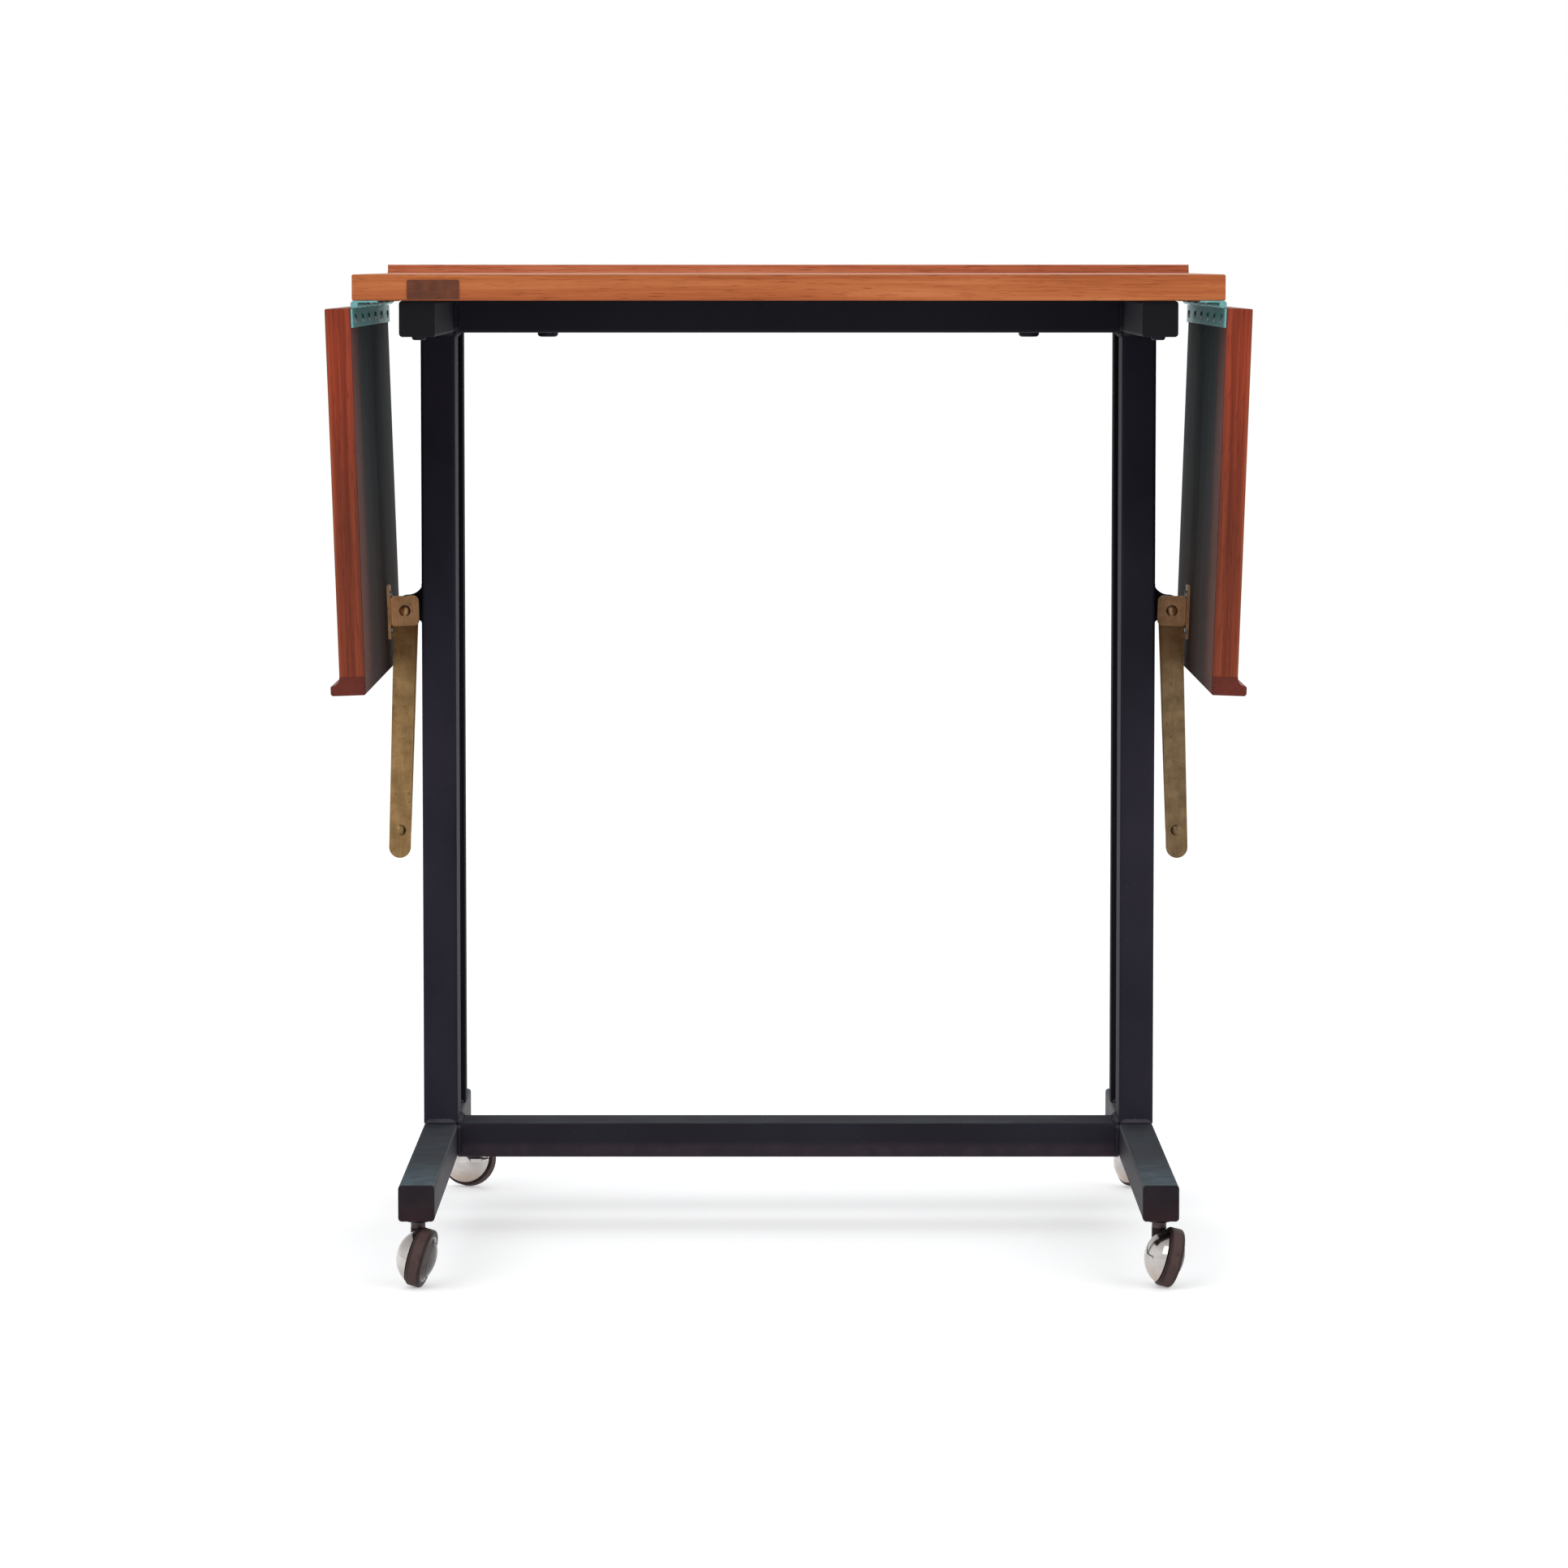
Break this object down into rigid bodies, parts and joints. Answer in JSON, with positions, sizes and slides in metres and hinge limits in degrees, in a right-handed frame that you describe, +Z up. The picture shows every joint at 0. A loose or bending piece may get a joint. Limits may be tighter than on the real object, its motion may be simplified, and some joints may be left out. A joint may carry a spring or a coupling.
{
  "type": "drop leaf tea trolley",
  "caption": "Side trolley with a raised-lip wooden top, hinged drop leaves on folding stays, a square-tube steel frame and swivel ball castors.",
  "frame": {"origin": "on the floor under the middle of the top board", "axes": "+X to the right along the top's length, +Y to the back, where the raised moulding is, +Z up"},
  "size_m": [0.6378, 0.5365, 0.7013],
  "materials": {
    "teak_top": "oiled",
    "teak_moulding": "oiled",
    "teak_leaf": "oiled",
    "black_paint": "satin",
    "cap_plastic": "matte",
    "plate_brown": "matte",
    "hinge_steel": "brushed",
    "screw_steel": "plated",
    "brass": "aged",
    "chrome": "polished",
    "castor_steel": "plated",
    "hub_plastic": "gloss",
    "tyre_rubber": "matte"
  },
  "bodies": {
    "frame": {"top_board": "teak_top", "back_moulding": "teak_moulding", "blank_plate": "plate_brown", "left_post": "black_paint", "right_post": "black_paint", "left_rear_post": "black_paint", "right_rear_post": "black_paint", "left_foot": "black_paint", "right_foot": "black_paint", "left_arm": "black_paint", "right_arm": "black_paint", "top_rail": "black_paint", "bottom_rail": "black_paint", "stay_ears": "black_paint", "castor_sockets": "black_paint", "tube_end_caps": "cap_plastic", "rail_bolts": "screw_steel", "arm_screws": "screw_steel", "board_hinge_screws": "screw_steel", "hinge_pins": "screw_steel", "board_hinge_plates": "hinge_steel", "stay_ear_rivets": "brass"},
    "left_leaf": {"left_leaf_panel": "teak_leaf", "left_leaf_moulding": "teak_leaf", "left_leaf_hinge_plate": "hinge_steel", "left_leaf_screws": "screw_steel", "left_stay_bracket": "brass", "left_stay_bracket_rivet": "brass"},
    "left_leaf_link": {"left_leaf_link": "brass", "left_knee_rivet": "brass"},
    "left_post_link": {"left_post_link": "brass"},
    "right_leaf": {"right_leaf_panel": "teak_leaf", "right_leaf_moulding": "teak_leaf", "right_leaf_hinge_plate": "hinge_steel", "right_leaf_screws": "screw_steel", "right_stay_bracket": "brass", "right_stay_bracket_rivet": "brass"},
    "right_leaf_link": {"right_leaf_link": "brass", "right_knee_rivet": "brass"},
    "right_post_link": {"right_post_link": "brass"},
    "front_left_castor": {"front_left_castor_stem": "castor_steel", "front_left_castor_hood": "chrome", "front_left_castor_axle": "castor_steel"},
    "front_left_wheel": {"front_left_castor_wheel": "hub_plastic", "front_left_castor_tyre": "tyre_rubber"},
    "front_right_castor": {"front_right_castor_stem": "castor_steel", "front_right_castor_hood": "chrome", "front_right_castor_axle": "castor_steel"},
    "front_right_wheel": {"front_right_castor_wheel": "hub_plastic", "front_right_castor_tyre": "tyre_rubber"},
    "rear_left_castor": {"rear_left_castor_stem": "castor_steel", "rear_left_castor_hood": "chrome", "rear_left_castor_axle": "castor_steel"},
    "rear_left_wheel": {"rear_left_castor_wheel": "hub_plastic", "rear_left_castor_tyre": "tyre_rubber"},
    "rear_right_castor": {"rear_right_castor_stem": "castor_steel", "rear_right_castor_hood": "chrome", "rear_right_castor_axle": "castor_steel"},
    "rear_right_wheel": {"rear_right_castor_wheel": "hub_plastic", "rear_right_castor_tyre": "tyre_rubber"}
  },
  "joints": [
    {"name": "left_leaf_hinge", "type": "hinge", "parent": "frame", "child": "left_leaf", "pos_m": [-0.2985, 0, 0.6745], "axis": [0, 1, 0], "range_deg": [0, 92]},
    {"name": "left_post_link_pivot", "type": "hinge", "parent": "frame", "child": "left_post_link", "pos_m": [-0.2795, 0.085, 0.4507], "axis": [0, 1, 0], "range_deg": [0, 129.07]},
    {"name": "left_leaf_link_pivot", "type": "hinge", "parent": "left_leaf", "child": "left_leaf_link", "pos_m": [-0.28139, 0.085, 0.44826], "axis": [0, 1, 0], "range_deg": [-142.39, 0]},
    {"name": "right_leaf_hinge", "type": "hinge", "parent": "frame", "child": "right_leaf", "pos_m": [0.2985, 0, 0.6745], "axis": [0, -1, 0], "range_deg": [0, 92]},
    {"name": "right_post_link_pivot", "type": "hinge", "parent": "frame", "child": "right_post_link", "pos_m": [0.2795, 0.085, 0.4507], "axis": [0, -1, 0], "range_deg": [0, 129.07]},
    {"name": "right_leaf_link_pivot", "type": "hinge", "parent": "right_leaf", "child": "right_leaf_link", "pos_m": [0.28139, 0.085, 0.44826], "axis": [0, -1, 0], "range_deg": [-142.39, 0]},
    {"name": "front_left_castor_swivel", "type": "hinge", "parent": "frame", "child": "front_left_castor", "pos_m": [-0.2555, -0.241, 0.044], "axis": [0, 0, 1], "continuous": true},
    {"name": "front_left_wheel_spin", "type": "hinge", "parent": "front_left_castor", "child": "front_left_wheel", "pos_m": [-0.25269, -0.25275, 0.02073], "axis": [0.9508, -0.1848, -0.2487], "continuous": true},
    {"name": "front_right_castor_swivel", "type": "hinge", "parent": "frame", "child": "front_right_castor", "pos_m": [0.2555, -0.241, 0.044], "axis": [0, 0, 1], "continuous": true},
    {"name": "front_right_wheel_spin", "type": "hinge", "parent": "front_right_castor", "child": "front_right_wheel", "pos_m": [0.26198, -0.2512, 0.02073], "axis": [0.9592, 0.1348, -0.2487], "continuous": true},
    {"name": "rear_left_castor_swivel", "type": "hinge", "parent": "frame", "child": "rear_left_castor", "pos_m": [-0.2555, 0.241, 0.044], "axis": [0, 0, 1], "continuous": true},
    {"name": "rear_left_wheel_spin", "type": "hinge", "parent": "rear_left_castor", "child": "rear_left_wheel", "pos_m": [-0.24345, 0.24194, 0.02073], "axis": [0.3313, 0.9102, -0.2487], "continuous": true},
    {"name": "rear_right_castor_swivel", "type": "hinge", "parent": "frame", "child": "rear_right_castor", "pos_m": [0.2555, 0.241, 0.044], "axis": [0, 0, 1], "continuous": true},
    {"name": "rear_right_wheel_spin", "type": "hinge", "parent": "rear_right_castor", "child": "rear_right_wheel", "pos_m": [0.26591, 0.23486, 0.02073], "axis": [0.7934, 0.5556, -0.2487], "continuous": true}
  ],
  "couplings": [
    {"joint": "left_post_link_pivot", "follows": "left_leaf_hinge", "ratio": 1.4024},
    {"joint": "left_leaf_link_pivot", "follows": "left_leaf_hinge", "ratio": -1.5472},
    {"joint": "right_post_link_pivot", "follows": "right_leaf_hinge", "ratio": 1.4024},
    {"joint": "right_leaf_link_pivot", "follows": "right_leaf_hinge", "ratio": -1.5472}
  ]
}
